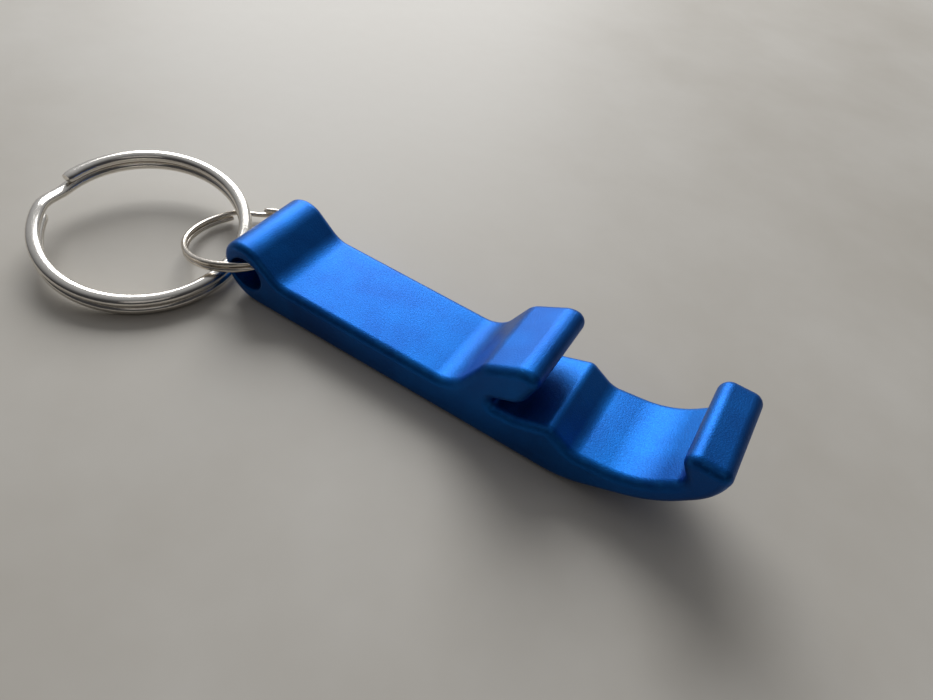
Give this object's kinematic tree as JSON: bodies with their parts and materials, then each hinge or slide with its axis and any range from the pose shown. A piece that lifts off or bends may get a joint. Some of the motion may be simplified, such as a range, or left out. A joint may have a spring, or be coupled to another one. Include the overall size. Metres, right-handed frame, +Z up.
{
  "type": "keychain bottle opener",
  "caption": "Claw-shaped blue anodised aluminium bottle opener with a small split ring through its end boss and a larger split ring for keys.",
  "frame": {"origin": "middle of the flat underside across the width, 25 mm from the boss end of the opener", "axes": "+X along the length towards the hook, +Y across the width away from the side that faces the reader, +Z up from the underside"},
  "size_m": [0.086, 0.0274, 0.0135],
  "materials": {
    "anodised_blue": "fine bead-blasted, satin blue anodising with tumbled edges",
    "nickel_plate": "bright nickel plate on spring steel wire"
  },
  "bodies": {
    "opener": {"opener_body": "anodised_blue"},
    "link_ring": {"link_ring": "nickel_plate"},
    "key_ring": {"key_ring": "nickel_plate"}
  },
  "joints": [
    {"name": "link_ring_swing", "type": "hinge", "parent": "opener", "child": "link_ring", "pos_m": [-0.02165, 0, 0.0041], "axis": [0, 1, 0], "range_deg": [-50, 25]},
    {"name": "key_ring_swing", "type": "hinge", "parent": "link_ring", "child": "key_ring", "pos_m": [-0.0275, -0.00745, 0.00367], "axis": [0.9755, 0, 0.2198], "range_deg": [0, 140]}
  ]
}
